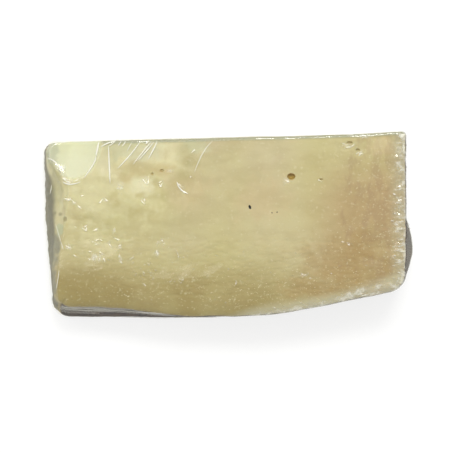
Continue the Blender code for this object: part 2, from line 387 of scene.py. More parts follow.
def front_height(x, y, depth):
    """Z of the front face at x and y, less a depth, with its roll over the edges."""
    u = 2 * (x - left_wall(y, 1.0)) / (right_wall(y, 1.0) - left_wall(y, 1.0)) - 1
    v = 2 * (y - lower_wall(x, 1.0)) / (upper_wall(x, 1.0) - lower_wall(x, 1.0)) - 1
    rolled = roll_off(np.clip(u, -1, 1), np.clip(v, -1, 1))
    return MID_THICKNESS + WEDGE_SLOPE * x - rolled - depth


def from_image(column, row):
    """X and Y on the front face, in millimetres, of a pixel of the camera's image."""
    x = (column - IMAGE_PIXELS / 2) * MM_PER_PIXEL + CAMERA_X / MM
    y = (IMAGE_PIXELS / 2 - row) * MM_PER_PIXEL + CAMERA_Y / MM
    return x, y


def store(mesh, name, values):
    """Keeps one number for each vertex, for the material to read."""
    layer = mesh.attributes.new(name, "FLOAT", "POINT")
    layer.data.foreach_set("value", np.asarray(values, np.float32))


def store_wall_gaps(mesh):
    """Keeps each vertex's gap to each wall, and gives places, tops and gaps in millimetres."""
    x, y, z = np.array([v.co for v in mesh.vertices]).T / MM
    top = MID_THICKNESS + WEDGE_SLOPE * x
    level = {wall: np.clip(z / (top - drop), 0, 1) for wall, drop in ROLL_DROPS.items()}
    gaps = {
        "right": right_wall(y, level["right"]) - x,
        "left": x - left_wall(y, level["left"]),
        "lower": y - lower_wall(x, level["lower"]),
        "upper": upper_wall(x, level["upper"]) - y,
    }
    for wall, gap in gaps.items():
        store(mesh, "from_" + wall, gap)
    return x, y, z, top, gaps


def dress(piece):
    """Makes the piece part of the chunk, in place of the plain solid."""
    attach(piece, "root")
    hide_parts("wrapped_chunk")


# The curd itself lies just inside the form. An eye is its place, half sizes, depth and how
# brown it is inside. Stains, and patches of painted shade and painted sheen, are middles
# and half widths in pixels of the camera's image.
CHEESE_INSET = 0.25
CHEESE_CELLS = (350, 175, 26)
COARSE_FLAKES = make_flakes(11, 52, (4.5, 10.0), (2.6, 5.0), (0.08, 0.26))
FINE_FLAKES = make_flakes(5, 900, (0.9, 3.2), (0.4, 1.1), (0.06, 0.25))
EYES = {
    "round_eye": ((27.2, 20.6), (1.75, 1.35), 2.2, 1.0),
    "slit_pit": ((39.7, 19.4), (0.8, 0.35), 0.8, 0.3),
    "rim_pit_left": ((51.6, 34.7), (1.3, 0.6), 1.1, 0.3),
    "rim_pit_right": ((55.0, 31.7), (0.9, 0.6), 1.0, 0.3),
    "left_crevice": ((-68.4, 2.8), (0.6, 0.9), 0.4, 0.2),
    "core_pit_left": ((-31.4, 21.9), (0.6, 0.5), 0.7, 0.3),
    "core_pit_right": ((-27.3, 23.2), (0.9, 0.7), 0.9, 0.3),
}
STAINS = {
    # Cream over the upper left: partly the paste's paler tone, partly painted film sheen.
    "cream_and_sheen": (((69, 150), (172, 122)),),
    "hollow_grey": (((134, 150), (50, 20)), ((196, 146), (22, 12))),
    "pink": (((187, 188), (38, 30)), ((262, 200), (46, 34)), ((377, 190), (21, 40))),
    "green": (((178, 229), (44, 22)), ((118, 212), (30, 26))),
    "tan_blots": (((141, 168), (34, 13)), ((160, 169), (20, 10)), ((124, 177), (11, 12))),
    "olive_blots": (((184, 176), (16, 12)), ((191, 161), (14, 14)), ((182, 149), (13, 10))),
    # Painted sheen: pale patches where the film glints.
    "painted_sheen_blots": (((141, 186), (16, 13)), ((119, 186), (10, 8.5)), ((102, 163), (11, 22))),
    "peach": (((382, 146), (24, 14)),),
    # Painted shade on the broken left slope and the corner's left end, with one paler patch.
    "ledge": (((54, 190), (9, 34)),),
    "ledge_painted_shade": (((51, 247), (10, 26)), ((50, 282), (7, 26))),
    "light_ledge": (((58, 230.5), (8, 10.5)),),
    "corner_shade": (((48, 150), (12, 17)),),
    "brown_low": (((345, 262), (72, 36)), ((362, 246), (22, 26)), ((308, 288), (40, 16))),
    # Painted shadows in the crevice of the broken left slope.
    "crevice_painted_shadows": (((52, 212.5), (2.6, 2.6)), ((63.2, 218.8), (3.4, 4.6)), ((58, 214), (4, 3.4))),
}
# Noise patterns: size in millimetres, detail, and how far they are stretched along X and Y.
CURD_PATTERNS = {
    "patches": (24, 2, 1, 1),
    "clouds": (7, 3, 1, 1),
    "streaks": (2.2, 3, 0.45, 1),
    "cracks": (1.6, 4, 1, 0.4),
    "crystals": (0.7, 2, 1, 1),
    "mottle": (2.5, 4, 1, 1),
}
# Layers of colour: what each reads, where it starts and is full, its most, how patchy it
# is, and its colour. Each lies over those before it. Some are painted light: shade on the
# broken end, the left slope, its crevice and the top edge, part of the dark of the olive
# zone, and sheen over the upper left and the chipped corner.
CURD_LAYERS = (
    ("patches", 0.32, 0.70, 1.0, 0.0, "#ccbe97"),
    ("clouds", 0.35, 0.75, 0.4, 0.0, "#d3cb9e"),
    # Paler over the upper left: partly the paste's tone, partly painted sheen.
    ("cream_and_sheen", 0.05, 0.80, 0.85, 0.2, "#e0d9ac"),
    ("pink", 0.0, 0.9, 0.40, 0.3, "#d2ba90"),
    ("green", 0.0, 0.9, 0.28, 0.3, "#c8c28c"),
    ("hollow_grey", 0.10, 0.80, 0.75, 0.1, "#c9c69f"),
    ("tan_blots", 0.0, 1.0, 0.65, 0.5, "#c3af78"),
    ("olive_blots", 0.0, 1.0, 0.55, 0.5, "#b3a872"),
    # Painted sheen where the film glints.
    ("painted_sheen_blots", 0.0, 0.9, 0.75, 0.3, "#e5dfba"),
    ("peach", 0.0, 0.9, 0.70, 0.3, "#e2d0a5"),
    ("tan_side", 0, 1, 1.0, 0.25, "#bba273"),
    # Olive by the flat face, darker also as painted shade.
    ("olive_and_shade_side", 0, 1, 1.0, 0.3, "#a7965c"),
    ("brown_low", 0.0, 0.80, 0.60, 0.4, "#ac8e54"),
    ("streaks", 0.62, 0.35, 0.14, 0.0, "#98824c"),
    ("right_third", 0.62, 0.45, 0.32, 0.0, "#a18360"),
    ("crystals", 0.60, 0.75, 0.30, 0.0, "#e4dcb8"),
    ("from_right", 9, 2, 0.9, 0.5, "#bab090"),
    ("low_rim", 6.5, 1.5, 0.9, 0.4, "#cbc4a4"),
    # Painted shade along the top edge.
    ("upper_edge_shade", 0, 1, 0.85, 0.2, "#999b80"),
    # Painted sheen under the chipped corner, then painted shade at its left end.
    ("corner", 0, 1, 0.9, 0.1, "#d9dbb0"),
    ("corner_shade", 0.05, 0.7, 0.8, 0.0, "#b4b795"),
    # Painted shade on the broken left slope, with one paler patch.
    ("ledge", 0.10, 0.60, 0.95, 0.2, "#c6bf90"),
    ("ledge_painted_shade", 0.10, 0.60, 0.85, 0.3, "#86836b"),
    ("light_ledge", 0.10, 0.60, 0.9, 0.1, "#bdc197"),
    # Painted shadows in the crevice.
    ("crevice_painted_shadows", 0.0, 0.9, 0.65, 0.2, "#80784f"),
    # Painted shade on the broken end.
    ("painted_end_shade", 0, 1, 0.88, 0.15, "#66634e"),
    ("in_eye", 0, 1, 1.0, 0.0, "#b69943"),
)
CURD_TONE, RIND_COLOURS = "#c9bf88", ("#2b2016", "#55432e")
GRIT_SIZE, GRIT_DEPTH = 0.45, 0.12
CURD_ROUGHNESS, RIND_ROUGHNESS = 0.5, 0.9
CURD_FINISH = {
    "Specular IOR Level": 0.3,
    "IOR": 1.45,
    "Subsurface Weight": 0.25,
    "Subsurface Radius": (1.0, 0.7, 0.35),
    "Subsurface Scale": 2.0 * MM,
}


def corner_reach(x, y):
    """How far out in the chipped corner a place is: 0 in its middle, 1 at its lip."""
    (centre_x, centre_y), half_sizes, _ = CHIPPED_CORNER
    return np.hypot((x - centre_x) / half_sizes[0], (y - centre_y) / half_sizes[1])


def grain(x, y):
    """Depth of the fine grain of the pressed curd, coarser low down and on the right."""
    rough = 0.2 + 0.8 * np.maximum(smooth(-y, 6, 30), smooth(x, 30, 66))
    crumble = 0.35 * smooth(x, 66, 73) * lumps(x, y, 2, 1.6)
    return rough * (0.07 * lumps(x * 0.6, y, 3, 1.5) + 0.10 * lumps(x, y, 7, 2.6)) + crumble


def cheese_depth(x, y):
    """How far the cheese's front lies below the plane of the cut."""
    dishes = (CHIPPED_CORNER, UPPER_HOLLOW, LEFT_BREAK, LOWER_LEFT_DISH, MIDDLE_DISH)
    depth = sum(hollow(x, y, *dish) for dish in dishes) - face_swell(x, y)
    depth = depth + flake_depths(x, y, COARSE_FLAKES) + flake_depths(x, y, FINE_FLAKES)
    return depth + rim_scallops(x, y) + grain(x, y)


def cheese_walls(x, y, z):
    """Depth of the walls' own roughness: crumbly at the left end, fine on the rind."""
    crags = 0.35 + 0.6 * np.abs(lumps(x, y, z, 4.5)) + 0.25 * lumps(x, y, z, 1.7)
    return np.maximum(0.08 * lumps(x, y, z, 2.4) + smooth(-x, 66, 74) * crags, -0.15)


def blot(x, y, centre, half_pixels, rags, reach=1.0):
    """1 in the middle of a blot given in pixels, falling softly to 0 at its ragged edge."""
    blot_x, blot_y = from_image(*centre)
    half_x, half_y = (half * MM_PER_PIXEL for half in half_pixels)
    gap = np.hypot((x - blot_x) / half_x, (y - blot_y) / half_y) + rags
    return mound(np.maximum(0.0, gap), reach)


egg_block = bmesh.new()
for (eye_x, eye_y), half_sizes, eye_depth, _ in EYES.values():
    egg = bmesh.ops.create_icosphere(egg_block, subdivisions=4, radius=1)["verts"]
    spot = np.array([eye_x]), np.array([eye_y])
    eye_z = float(front_height(*spot, cheese_depth(*spot))[0]) - CHEESE_INSET
    egg_place = Matrix.Translation((eye_x, eye_y, eye_z))
    egg_shape = Matrix.Diagonal((*half_sizes, eye_depth, 1))
    bmesh.ops.transform(egg_block, matrix=egg_place @ egg_shape, verts=egg)
bmesh.ops.scale(egg_block, vec=(MM, MM, MM), verts=egg_block.verts)
egg_cutter = add_object("eye_eggs", finished_mesh("eye_eggs", egg_block))
cheese = add_object(
    "cheese", shaped_block("cheese", CHEESE_CELLS, cheese_depth, CHEESE_INSET, cheese_walls)
)
eye_cut = cheese.modifiers.new("eyes", "BOOLEAN")
eye_cut.operation = "DIFFERENCE"
eye_cut.solver = "MANIFOLD"
eye_cut.object = egg_cutter
graph = bpy.context.evaluated_depsgraph_get()
cheese.data = bpy.data.meshes.new_from_object(cheese.evaluated_get(graph))
cheese.modifiers.clear()
bpy.data.objects.remove(egg_cutter)
cheese.data.shade_smooth()
cheese.data.set_sharp_from_angle(angle=math.radians(50))

curd_x, curd_y, curd_z, curd_top, curd_gaps = store_wall_gaps(cheese.data)

# Where each layer lies: inside the eyes, in the stains and the painted patches, along the
# rims and on the walls.
on_front = smooth(curd_z, 16, 26)
in_eye = np.zeros_like(curd_x)
for (eye_x, eye_y), (half_x, half_y), _, brown in EYES.values():
    eye_gap = np.hypot((curd_x - eye_x) / half_x, (curd_y - eye_y) / half_y)
    in_eye = np.maximum(in_eye, brown * smooth(1.12 - eye_gap, 0, 0.25) * on_front)
store(cheese.data, "in_eye", in_eye)
rags = 0.3 * lumps(curd_x, curd_y, 3, 4.5) + 0.2 * lumps(curd_x, curd_y, 8, 1.8)
for stain, spots in STAINS.items():
    stained = np.zeros_like(curd_x)
    for centre, half_pixels in spots:
        stained = np.maximum(stained, blot(curd_x, curd_y, centre, half_pixels, rags))
    store(cheese.data, stain, stained * on_front)
low_gap = curd_y - lower_wall(curd_x, 1.0) - 3 * smooth(curd_x, 48, 68)
store(cheese.data, "low_rim", low_gap + 9 * smooth(-curd_x, -20, 20))
# The olive zone by the flat face: darker paste, and painted shade where the face rolls away.
olive_reach = mix(28, 33, smooth(curd_x, -45, -5))
olive_and_shade_share = mix(1.0, 0.35, smooth(curd_x, -5, 50))
store(cheese.data, "olive_and_shade_side", smooth(low_gap, olive_reach, 8) * olive_and_shade_share)
tan_side = smooth(curd_x, 20, 60) * mix(0.25, 1.0, smooth(-curd_y, -36, -8))
store(cheese.data, "tan_side", tan_side)
# Painted sheen: the paste under the chipped corner is drawn paler and greener.
store(cheese.data, "corner", smooth(corner_reach(curd_x, curd_y), 1.08, 0.85) * on_front)
# Painted shade: the broken end, below the front, is drawn dark grey in blots.
end_shade_blots = mix(0.55, 1.0, smooth(lumps(curd_x, curd_y, curd_z, 6), -0.4, 0.2))
end_shade_blots = mix(1.0, end_shade_blots, smooth(curd_top - curd_z, 14, 20))
end_shade = end_shade_blots * smooth(3.2 - curd_gaps["left"], 0, 1.4) * smooth(-curd_z, -24.5, -20)
store(cheese.data, "painted_end_shade", end_shade)
# Painted shade: a thin strip along the top edge, drawn darker grey.
upper_edge_shade = smooth(2.4 - curd_gaps["upper"], 0, 1.6) * smooth(curd_z - curd_top, -4.5, -2.0)
store(cheese.data, "upper_edge_shade", upper_edge_shade)

# Rind covers the wheel's side and flat face, up to where the front rolls over.
curd_outward = np.array([v.normal for v in cheese.data.vertices])
outer_side = np.maximum(
    smooth(-curd_outward[:, 1], 0.15, 0.45), smooth(curd_outward[:, 0], 0.15, 0.45)
)
rind_near = smooth(6.0 - np.minimum(curd_gaps["right"], curd_gaps["lower"]), 0, 2)
lower_is_near = curd_gaps["lower"] < curd_gaps["right"]
rolled = np.where(lower_is_near, ROLL_DROPS["lower"], ROLL_DROPS["right"])
rind_near = rind_near * smooth(curd_top - curd_z - rolled, -1.2, 0.0)
rind_near = rind_near * smooth(curd_gaps["left"], 1.5, 5.0)
store(cheese.data, "rind", smooth(0.72 - curd_outward[:, 2], 0, 0.3) * outer_side * rind_near)

# Pressed sheep's-milk curd: a waxy, slightly translucent paste that light sinks into, with
# cloudy patches, a tan zone by the side and an olive one by the flat face, darker there
# also as painted shade, pale frosty crumble along both rims, and a dry, dark, mottled rind.
# Painted shade darkens the broken end, the left slope and the top edge, and painted sheen
# pales the upper left. Its grit is finer than a pixel, so it is drawn at 0.45 mm.
cheese_paint, curd, curd_shader = new_paint("pressed_sheeps_curd", CURD_FINISH)
curd_place = add_node(curd, "TexCoord", out=3)
gauges = {}
for gauge in ("rind", *(row[0] for row in CURD_LAYERS)):
    if gauge in cheese.data.attributes:
        gauges[gauge] = add_node(curd, "Attribute", out=2, attribute_name=gauge)
for pattern, (size, detail, *stretch) in CURD_PATTERNS.items():
    scale = [0.5 / (size * MM) * part for part in (*stretch, 1)]
    curd_spot = add_node(curd, "Mapping", {"Vector": curd_place, "Scale": scale})
    texture = {"Vector": curd_spot, "Scale": 1, "Detail": detail}
    gauges[pattern] = add_node(curd, "TexNoise", texture)
near_side = add_node(curd, "MapRange", (gauges["from_right"], 13, 44, 0, 0.4))
gauges["right_third"] = add_node(curd, "Math", (gauges["cracks"], near_side), operation="ADD")
curd_breaks = soft_share(curd, gauges["clouds"], 0.25, 0.6)
curd_colour = linear(CURD_TONE)
for gauge, start, end, most, broken, code in CURD_LAYERS:
    share = soft_share(curd, gauges[gauge], start, end, 0, most)
    breaks = add_node(curd, "MapRange", (curd_breaks, 0, 1, 1 - broken, 1))
    share = add_node(curd, "Math", (share, breaks), operation="MULTIPLY")
    curd_colour = blend(curd, share, curd_colour, linear(code))
rind_share = add_node(curd, "MapRange", (gauges["mottle"], 0.35, 0.7))
rind_dark, rind_light = (linear(code) for code in RIND_COLOURS)
rind_colour = blend(curd, rind_share, rind_dark, rind_light)
rind_cover = soft_share(curd, gauges["rind"], 0.2, 0.8)
curd_colour = blend(curd, rind_cover, curd_colour, rind_colour)
curd.links.new(curd_colour, curd_shader["Base Color"])
roughnesses = (rind_cover, 0, 1, CURD_ROUGHNESS, RIND_ROUGHNESS)
curd.links.new(add_node(curd, "MapRange", roughnesses), curd_shader["Roughness"])
grit_scale = 0.5 / (GRIT_SIZE * MM)
grit = add_node(curd, "TexNoise", {"Vector": curd_place, "Scale": grit_scale, "Detail": 3})
grit_bump = add_node(curd, "Bump", {"Height": grit, "Strength": 0.3, "Distance": GRIT_DEPTH * MM})
curd.links.new(grit_bump, curd_shader["Normal"])
cheese.data.materials.clear()
cheese.data.materials.append(cheese_paint)
dress(cheese)

# ---------------------------------------------------------------------------------------
# Crumbs and specks. Crumbs of curd, dry and pale, are caught between cheese and film,
# mostly low on the face and along the rind; three dark specks are bits of pepper or char.

CRUMB_COUNT = 1500
CRUMB_SIZES = (0.08, 0.24)
CRUMB_EDGE_Y, CRUMB_GAP_TO_EDGE = -37.8, 1.5
CRUMB_TONES, SPECK_TONES = ("#c4b586", "#dcd4ae"), ("#080604", "#171009")
CRUMB_FINISH = {"Roughness": 0.6}
SPECK_FINISH = {"Roughness": 0.5, "Specular IOR Level": 0.15}
SPECKS = (
    ((249.9, 207.0), (0.62, 1.05), 20),
    ((272.0, 212.8), (0.28, 0.28), 0),
    ((277.1, 212.2), (0.25, 0.4), 0),
)


def lay_bits(name, bits, paint):
    """One mesh of small lumps half sunk in the face, each with a place, half sizes and turn."""
    heap = bmesh.new()
    spots = np.array([place for place, _, _ in bits])
    heights = front_height(spots[:, 0], spots[:, 1], cheese_depth(spots[:, 0], spots[:, 1]))
    for (place, half_sizes, turn), height in zip(bits, heights):
        lump = bmesh.ops.create_icosphere(heap, subdivisions=1, radius=1)["verts"]
        middle = Matrix.Translation((*place, height - CHEESE_INSET))
        shape = Matrix.Diagonal((*half_sizes, 0.6 * min(half_sizes), 1))
        turned = Matrix.Rotation(math.radians(turn), 4, "Z")
        bmesh.ops.transform(heap, matrix=middle @ turned @ shape, verts=lump)
    bmesh.ops.scale(heap, vec=(MM, MM, MM), verts=heap.verts)
    dress(add_object(name, finished_mesh(name, heap, paint)))


crumb_draw = random.Random(23)
crumb_bits = []
while len(crumb_bits) < CRUMB_COUNT:
    x, y = crumb_draw.uniform(-70, 74), crumb_draw.uniform(-37, 36)
    low = float(smooth(-y, 8, 28)) * (0.55 + 0.45 * float(smooth(x, -60, 20)))
    chance = 0.03 + max(0.8 * low, 0.9 * float(smooth(x, 40, 72)))
    edge_y = CRUMB_EDGE_Y + DOME_SLOPE * float(hinge(x, DOME_START, DOME_BEND))
    edge_y += CORE_SLANT * float(smooth(-x, 12, 58))
    size = crumb_draw.uniform(*CRUMB_SIZES) * crumb_draw.uniform(0.6, 1.0)
    half_sizes = size * crumb_draw.uniform(1.0, 3.2), size * 0.8
    if y > edge_y + CRUMB_GAP_TO_EDGE and crumb_draw.random() < chance:
        crumb_bits.append(((x, y), half_sizes, crumb_draw.uniform(-50, 50)))


def clouded_paint(name, cloud_size, cloud_edge, tones, finish):
    """A paint of two tones that change over in soft clouds."""
    paint, tree, shader = new_paint(name, finish)
    place = add_node(tree, "TexCoord", out=3)
    scale = 0.5 / (cloud_size * MM)
    clouds = add_node(tree, "TexNoise", {"Vector": place, "Scale": scale})
    share = add_node(tree, "MapRange", (clouds, *cloud_edge))
    colour = blend(tree, share, *(linear(code) for code in tones))
    tree.links.new(colour, shader["Base Color"])
    return paint


# Dry crumb of the same curd: matt and paler than the paste, as little light sinks in.
crumb_paint = clouded_paint("dry_curd_crumb", 3.0, (0.3, 0.7), CRUMB_TONES, CRUMB_FINISH)
lay_bits("curd_crumbs", crumb_bits, crumb_paint)

# Charred speck: brown-black and a little shiny.
speck_paint = clouded_paint("charred_speck", 0.3, (0, 1), SPECK_TONES, SPECK_FINISH)
speck_bits = [(from_image(*spot), half_sizes, turn) for spot, half_sizes, turn in SPECKS]
lay_bits("dark_specks", speck_bits, speck_paint)

# ---------------------------------------------------------------------------------------
# The film. Clear PVC stretch film, pulled tight over the block by hand: it spans the
# hollows as taut facets, follows crags loosely, and is whiter where plies lie together and
# where its sheen is painted in as haze.

FILM_CELLS = (364, 182, 20)
FILM_GAP = 0.12
CORNER_SPAN = 1.75
# Smears, where plies cling together and where the soft halo of a glint is painted in as
# milky haze: middle and half widths in pixels, and strength.
FILM_SMEARS_AND_SHEEN = (
    ((61.0, 168.5), (4.4, 8.0), 1.0),
    ((66.0, 179.0), (8.0, 5.2), 0.9),
    ((74.0, 180.5), (7.0, 3.0), 0.35),
    ((66.5, 199.2), (7.0, 3.2), 0.75),
    ((73.0, 203.0), (4.5, 3.0), 0.55),
    ((104.0, 200.8), (3.2, 2.6), 0.5),
    ((119.5, 186.0), (4.5, 6.0), 0.6),
    ((145.6, 179.5), (3.8, 5.5), 0.45),
    ((160.5, 183.5), (3.0, 3.6), 0.4),
    ((181.5, 188.0), (5.0, 5.0), 0.4),
    ((170.0, 170.6), (5.5, 2.6), 0.5),
    ((143.5, 200.5), (3.0, 4.5), 0.45),
    ((286.8, 181.8), (6.2, 4.2), 0.9),
    ((67.0, 247.0), (5.0, 4.0), 0.6),
    ((83.5, 228.5), (4.5, 3.2), 0.5),
    ((113.5, 230.0), (2.6, 3.4), 0.45),
    ((95.0, 257.0), (10.0, 6.5), 0.5),
    ((97.0, 241.5), (5.5, 4.0), 0.4),
    ((119.0, 247.0), (3.4, 3.6), 0.6),
    ((119.5, 260.0), (3.0, 5.0), 0.5),
    ((108.5, 243.0), (3.5, 4.5), 0.4),
    ((160.0, 242.5), (4.0, 4.0), 0.5),
    ((157.0, 253.5), (4.0, 5.0), 0.55),
    ((147.0, 262.5), (4.5, 3.0), 0.35),
    ((302.5, 274.2), (4.5, 2.6), 0.5),
    ((349.0, 145.8), (7.0, 3.4), 0.6),
    ((359.8, 153.8), (4.8, 2.6), 0.5),
    ((366.0, 136.5), (8.0, 3.0), 0.5),
    ((401.5, 135.6), (4.5, 4.0), 1.0),
    ((399.0, 152.0), (5.0, 8.0), 0.6),
)
# Milky zones: what each reads, where it starts and is full, its haze, and if it is patchy.
FILM_MILKY_ZONES = (
    # Part of this haze is painted sheen: on the walls, along the top edge, over the chipped
    # corner and in the glint halos it stands in for the film's shine.
    ("rim_frost", 0, 1, 0.5, True),
    ("low_frost", 0, 1, 0.55, True),
    ("smears_and_sheen", 0, 1, 0.7, True),
    ("wall_plies_and_sheen", 0, 1, 0.4, False),
    ("from_upper", 1.2, 0.4, 0.12, True),
    ("corner", 0, 1, 0.24, False),
)
# Wrinkled zones: what each reads, where it starts and is full, and how wrinkled it is.
FILM_WRINKLE_ZONES = (
    ("from_right", 11, 2, 0.6),
    ("from_lower", 26, 6, 0.4),
    ("from_left", 6, 1, 0.8),
    ("from_upper", 2.2, 0.6, 0.5),
)
CALM_WRINKLES = 0.05
WRINKLE_SIZE, WRINKLE_DEPTH, PLY_SIZE = 1.6, 0.35, 1.2
FILM_IOR, TWO_FACES = 1.5, 1.7
FILM_TINT, FILM_HAZE = "#fcfcfa", "#f9f7e9"


def rim_teeth(x, y):
    """1 along the thin teeth of film that point inwards from the rind end, 0 between them."""
    return np.maximum(0, 1 - 3.6 * np.abs(lumps(x * 0.22, y, 6, 1.9)))


def film_depth(x, y):
    """How far the film lies below the plane of the cut: it spans hollows and flakes."""
    outside = smooth(corner_reach(x, y), 0.9, 1.15)
    spanned = 0.55 * hollow(x, y, *UPPER_HOLLOW) + 0.5 * hollow(x, y, *LEFT_BREAK)
    spanned = spanned + 0.6 * hollow(x, y, *MIDDLE_DISH) + 0.6 * hollow(x, y, *LOWER_LEFT_DISH)
    spanned = spanned + 0.4 * flake_depths(x, y, COARSE_FLAKES) - face_swell(x, y)
    spanned = outside * spanned + CORNER_SPAN * np.maximum(0.0, 1 - corner_reach(x, y) ** 2)
    spanned = spanned + rim_scallops(x, y) * mix(1.0, 0.4, smooth(y, 22, 29))
    waves = 0.03 * outside * np.abs(lumps(x, y, 4, 3.0))
    teeth = 0.12 * smooth(x, 67, 72) * smooth(-y, -31, -27) * rim_teeth(x, y)
    return np.minimum(spanned, cheese_depth(x, y)) - FILM_GAP - waves - teeth


def film_walls(x, y, z):
    """The film's pleats on the walls, which stand out in thin welts, most at the left end."""
    ends = smooth(-x, 68, 75) + 0.25 * smooth(x, 68, 75)
    welts = np.maximum(0, 1 - 4 * np.abs(lumps(x, y, z * 0.2, 4.0)))
    return -(0.05 + 0.2 * ends) * welts * smooth(z, 38, 22)


film = add_object("film", shaped_block("film", FILM_CELLS, film_depth, 0.0, film_walls))
film_x, film_y, film_z, film_top, film_gaps = store_wall_gaps(film.data)

# Where the film is milky: along the rims; low on the walls, where it was gathered and where
# its sheen is painted in; over the chipped corner, as painted sheen; and in the patches
# where plies cling or a glint's soft halo is painted in.
inside_lip = smooth(corner_reach(film_x, film_y), 1.02, 0.9) * smooth(film_z, 22, 27)
store(film.data, "corner", inside_lip * mix(0.5, 1.0, smooth(-film_y, -34, -24)))
on_front = smooth(film_z - film_top, -9, -6)
side_gap = film_gaps["right"]
tooth_reach = 3.0 + 3.8 * rim_teeth(film_x, film_y) + 1.8 * lumps(film_x, film_y, 1, 3)
rim_frost = smooth(tooth_reach - side_gap, 0, 2.6) * smooth(side_gap, 0.2, 0.9)
store(film.data, "rim_frost", rim_frost * on_front)
low_gap = film_y - lower_wall(film_x, 1.0) + 9 * smooth(-film_x, -20, 20)
low_reach = 3.2 + 1.2 * lumps(film_x, film_y, 2, 2.2) + 2.8 * smooth(film_x, 40, 58)
low_frost = smooth(low_reach - low_gap, 0, 3.0) * smooth(low_gap, -0.4, 0.3)
store(film.data, "low_frost", low_frost * on_front)
# Haze on the lower strip and the right wall: gathered plies, and painted sheen of the film.
low_strip = smooth(1.8 - film_gaps["lower"], 0, 0.8) * smooth(film_top - film_z, 2.2, 3.4)
strip_foot = mix(18, 13, smooth(-film_x, 46, 60))
low_strip = low_strip * smooth(film_z, strip_foot, strip_foot + 6) * smooth(-film_x, 10, 30)
streaks = smooth(lumps(film_x * 0.05, 0, film_z, 1.7), -0.25, 0.3)
right_plies_and_sheen = 0.42 * smooth(1.8 - side_gap, 0, 0.8) * smooth(film_top - film_z, 2.0, 4.0)
store(film.data, "wall_plies_and_sheen", np.maximum(low_strip * mix(0.35, 1.0, streaks), right_plies_and_sheen))
smear_and_sheen = np.zeros_like(film_x)
rags = 0.45 * lumps(film_x, film_y, 5, 1.3)
for centre, half_pixels, strength in FILM_SMEARS_AND_SHEEN:
    clinging = blot(film_x, film_y, centre, half_pixels, rags, 1.15)
    smear_and_sheen = np.maximum(smear_and_sheen, strength * clinging)
store(film.data, "smears_and_sheen", smear_and_sheen * on_front)


def clear_film(name, roughness, gain, milk, glare, wrinkled=False, broken=False):
    """Clear PVC stretch film: see-through, mirror-bright at a slant, milky where plies meet.

    Gain is for the light from its two faces, glare is the most that it mirrors, and milk is
    its haze all over. Wrinkled film reads the zones too, and broken film has patchy haze.
    """
    paint, tree, _ = new_paint(name)
    tree.nodes.clear()
    clear = add_node(tree, "BsdfTransparent", (linear(FILM_TINT),))
    shine = {"Color": (1, 1, 1, 1), "Roughness": roughness}
    facing = {"IOR": FILM_IOR}
    place = add_node(tree, "TexCoord", out=3)
    ply_scale, wrinkle_scale = (0.5 / (size * MM) for size in (PLY_SIZE, WRINKLE_SIZE))
    plies = add_node(tree, "TexNoise", {"Vector": place, "Scale": ply_scale, "Detail": 3})
    cloudy = soft_share(tree, plies, 0.4, 0.65, 0.2, 1)
    if broken:
        milk = add_node(tree, "Math", (cloudy, milk), operation="MULTIPLY")
    if wrinkled:
        coarse = {"Vector": place, "Scale": wrinkle_scale, "Detail": 3}
        crinkle = add_node(tree, "TexNoise", coarse)
        zone = CALM_WRINKLES
        for gauge, start, end, most in FILM_WRINKLE_ZONES:
            gap = add_node(tree, "Attribute", out=2, attribute_name=gauge)
            near = soft_share(tree, gap, start, end, 0, most)
            zone = add_node(tree, "Math", (near, zone), operation="MAXIMUM")
        height = add_node(tree, "Math", (crinkle, zone), operation="MULTIPLY")
        creases = {"Height": height, "Strength": 0.7, "Distance": WRINKLE_DEPTH * MM}
        bump = add_node(tree, "Bump", creases)
        shine["Normal"] = facing["Normal"] = bump
        for gauge, start, end, most, patchy in FILM_MILKY_ZONES:
            gap = add_node(tree, "Attribute", out=2, attribute_name=gauge)
            frosty = soft_share(tree, gap, start, end, 0, most)
            if patchy:
                frosty = add_node(tree, "Math", (cloudy, frosty), operation="MULTIPLY")
            milk = add_node(tree, "Math", (milk, frosty), operation="MAXIMUM")
    fresnel = add_node(tree, "Fresnel", facing)
    both_faces = add_node(tree, "Math", (fresnel, gain), operation="MULTIPLY")
    most_shine = add_node(tree, "Math", (both_faces, glare), operation="MINIMUM")
    body = add_node(tree, "MixShader", (most_shine, clear, add_node(tree, "BsdfGlossy", shine)))
    haze = add_node(tree, "BsdfDiffuse", (linear(FILM_HAZE),))
    add_node(tree, "OutputMaterial", (add_node(tree, "MixShader", (milk, body, haze)),))
    return paint


# Clear PVC stretch film, cast and glossy: nearly unseen but for highlights on its creases
# and a white haze where plies cling together, in places painted sheen.
film_paint = clear_film("clear_pvc_stretch_film", 0.09, TWO_FACES, 0.0, 0.06, wrinkled=True)
film.data.materials.append(film_paint)
dress(film)

# ---------------------------------------------------------------------------------------
# Puckers. Where the stretched film catches on a crag it stands up in a tiny flat facet,
# and each of these mirrors the softbox. They are wedges of film a few millimetres long.

